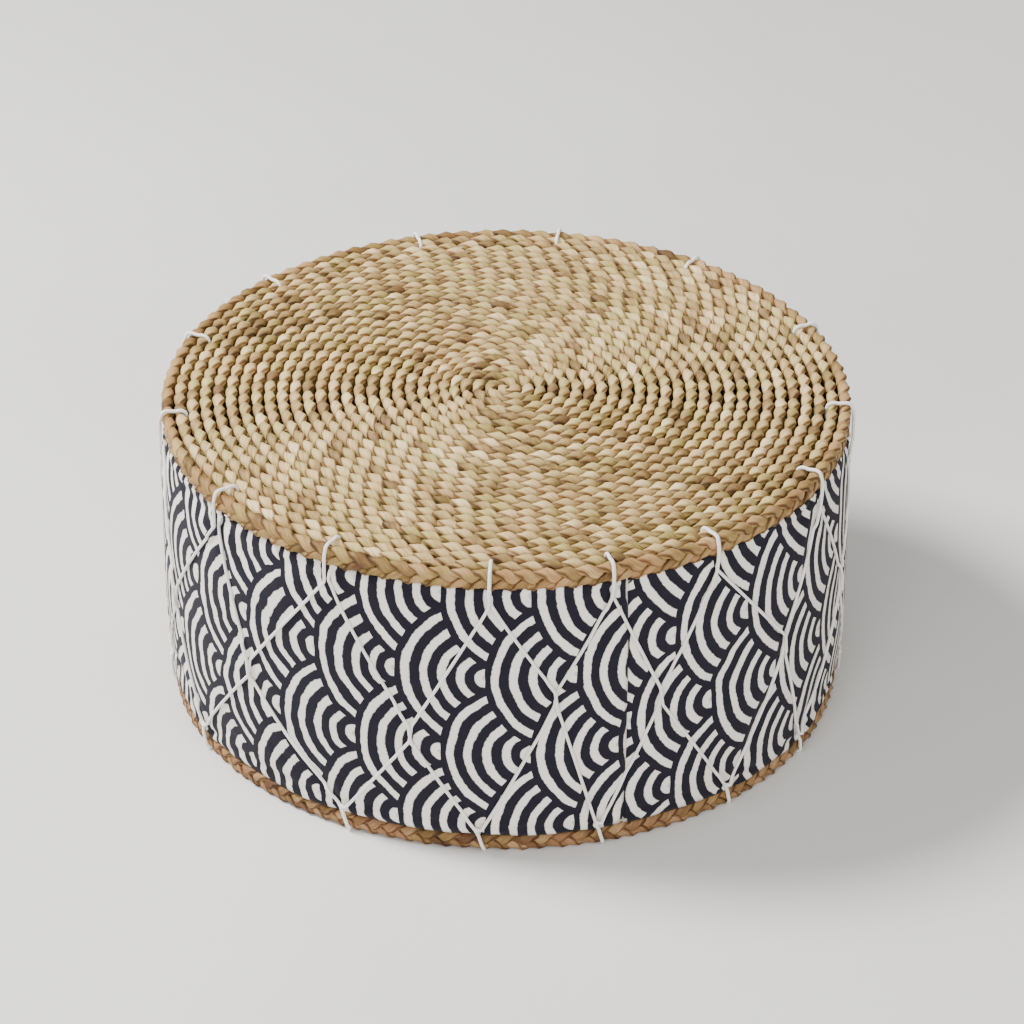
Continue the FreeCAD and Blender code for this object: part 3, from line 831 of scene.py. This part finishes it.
def knot_points(place):
    """An overhand knot with two short tails, lying against the cover at a route's point."""
    centre = Vector(place)
    outward = Vector((centre.x, centre.y, 0)).normalized()
    across = Vector((-outward.y, outward.x, 0))
    up = Vector((0, 0, 1))
    points = [(-0.0095, -0.0085, -0.0004), (-0.0070, -0.0060, 0.0006)]
    for t in np.linspace(0.4, 2 * math.pi - 0.4, 26):
        points.append((KNOT_SIZE * (math.sin(t) + 2 * math.sin(2 * t)),
                       KNOT_SIZE * (math.cos(t) - 2 * math.cos(2 * t)),
                       0.0016 - 0.0013 * math.sin(3 * t)))
    points += [(0.0072, -0.0062, 0.0006), (0.0100, -0.0092, -0.0004)]
    return np.array([centre + across * x + up * y + outward * z for x, y, z in points])


# ---- the pieces ----

straw = plant_fibre("seat_hyacinth", STRAW, 1.0)
rim_straw_painted_shade = plant_fibre("rim_hyacinth_painted_shade", RIM_PAINTED_SHADE_STRAW, 2.0)
brown = plant_fibre("base_hyacinth", BROWN_STRAW, 3.0)
# low and high side, loop pitch, and half width and half thickness of a strand
SEAT_BRAID = (SEAT_LOW.z, SEAT_HIGH.z, 0.0146, 0.0046, 0.00225)
BASE_BRAID = (BASE_LOW.z, BASE_HIGH.z, 0.0132, 0.0045, 0.00215)
DOME = 0.004             # the seat's middle stands this much higher than its rim
SAMPLES = 17             # points along one period of a strand
SEAT_STEP = 3 * SEAT_BRAID[2] / SAMPLES
BASE_STEP = 3 * BASE_BRAID[2] / SAMPLES

for node, line, size, dome, flipped, fibre, seed in (
        ("seat_coil", coil_line(SEAT_TAIL_AZIMUTH, SEAT_STEP), SEAT_BRAID + COIL_SHAPE,
         DOME, False, straw, 11),
        ("seat_rim_braid", rim_line(RADIUS, SEAT_STEP), SEAT_BRAID + RIM_SHAPE,
         DOME, False, rim_straw_painted_shade, 71),
        ("base_coil", coil_line(BASE_TAIL_AZIMUTH, BASE_STEP), BASE_BRAID + COIL_SHAPE,
         0, True, brown, 131),
        ("base_rim_braid", rim_line(BASE_RADIUS, BASE_STEP), BASE_BRAID + RIM_SHAPE,
         0, True, brown, 191)):
    for piece in braid(node, line, *size, dome, flipped, fibre, seed):
        keep(piece, node.split("_")[0] + "_braid", node)

routes = [cord_stations(True), cord_stations(False)]
radii = pressed(band_radii(), routes)
azimuths, heights = band_grid(2 * COLUMNS, 2 * LEVELS)
round_band = np.radians(azimuths - SEAM_AZIMUTH) * RADIUS
cloth = np.stack([round_band, heights, np.zeros_like(heights)], -1).reshape(-1, 3)
band = mesh_object("printed_band", cylinder_points(azimuths, heights, radii),
                   grid_faces(2 * LEVELS + 1, 2 * COLUMNS + 1), printed_cotton(), {"cloth": cloth})
thickness = band.modifiers.new("cloth_thickness", "SOLIDIFY")
thickness.thickness = CLOTH
thickness.offset = -1
keep(band, "printed_cotton", "side_cover")

cotton = twisted_cord()
for letter, route, seed in zip("ab", routes, (401, 421)):
    points = placed(route, radii)
    cord = cord_tube(f"lacing_cord_{letter}_line", points, cotton, seed)
    keep(cord, "lacing_cord", f"lacing_cord_{letter}")
    knot = cord_tube(f"lacing_knot_{letter}_tied", knot_points(points[0]), cotton, seed + 5, 0.0006)
    keep(knot, "lacing_cord", f"lacing_knot_{letter}")

# the carried-over CAD pieces, which lie inside, by the slot that each takes its finish from
inner = {
    "coil_thread": spun("waxed_thread", (0.72, 0.62, 0.44), (0.50, 0.41, 0.27)),
    "sewing_thread": spun("blue_thread", (0.06, 0.07, 0.14), (0.02, 0.02, 0.05)),
    # painted shade: the plain cotton is coloured far darker than undyed cotton, so the slits between the
    # braid's rows show as shaded
    "plain_cotton": woven("plain_cotton", (0.50, 0.44, 0.34), (0.38, 0.33, 0.25), 0.0009),
    "liner_cloth": woven("liner_calico", (0.80, 0.78, 0.72), (0.68, 0.66, 0.60), 0.0007),
    "wadding": cellular("fibre_wadding", (0.88, 0.88, 0.87), (0.74, 0.74, 0.73), 260),
    "soft_foam": cellular("soft_foam", (0.86, 0.82, 0.62), (0.66, 0.61, 0.42), 900),
    "firm_foam": cellular("firm_foam", (0.78, 0.75, 0.66), (0.58, 0.55, 0.46), 1100),
}
for part in frame["record"]["subparts"]:
    if part["material_slot"] in inner:
        materials = frame["nodes"][part["node"]].data.materials
        materials.clear()
        materials.append(inner[part["material_slot"]])


# ---- floor, light and camera ----

def floor():
    """A pale studio floor."""
    n = Nodes("studio_floor")
    shade = n.noise(n.place(), 3.0, 3.0)
    colour = n.ramp(shade, [(0.3, (0.66, 0.65, 0.63)), (0.7, (0.70, 0.69, 0.67))])
    points = np.array([[-6, -6, 0], [6, -6, 0], [6, 6, 0], [-6, 6, 0]], float)
    mesh_object("floor", points, [(0, 1, 2, 3)], n.finish(colour, 0.6))


def area_light(name, place, size, power, aim=(0, 0, 0.1)):
    """A round soft light that faces the part."""
    data = bpy.data.lights.new(name, "AREA")
    data.shape = "DISK"
    data.size = size
    data.energy = power
    lamp = link(bpy.data.objects.new(name, data))
    lamp.location = place
    lamp.rotation_euler = (Vector(place) - Vector(aim)).to_track_quat("Z", "Y").to_euler()


def camera():
    """A long lens from the front and above."""
    data = bpy.data.cameras.new("camera")
    data.sensor_width = 36
    data.lens = 149.4
    eye = link(bpy.data.objects.new("camera", data))
    eye.location = (0.0245, -2.6664, 1.7733)
    heading = Matrix.Rotation(0.0075, 3, "Z")
    tilt = Matrix.Rotation(math.pi / 2 - 0.5528, 3, "X")
    roll = Matrix.Rotation(0.0049, 3, "Z")
    eye.rotation_euler = (heading @ tilt @ roll).to_euler()
    bpy.context.scene.camera = eye


floor()
area_light("key", (-1.7, 0.3, 2.3), 0.9, 170)
area_light("fill", (1.8, -1.8, 1.5), 2.0, 36)
area_light("front", (-0.8, -2.6, 1.3), 1.6, 48)
world = bpy.data.worlds.new("studio")
world.use_nodes = True
world.node_tree.nodes["Background"].inputs[0].default_value = (0.93, 0.92, 0.90, 1)
world.node_tree.nodes["Background"].inputs[1].default_value = 0.6
bpy.context.scene.world = world
camera()
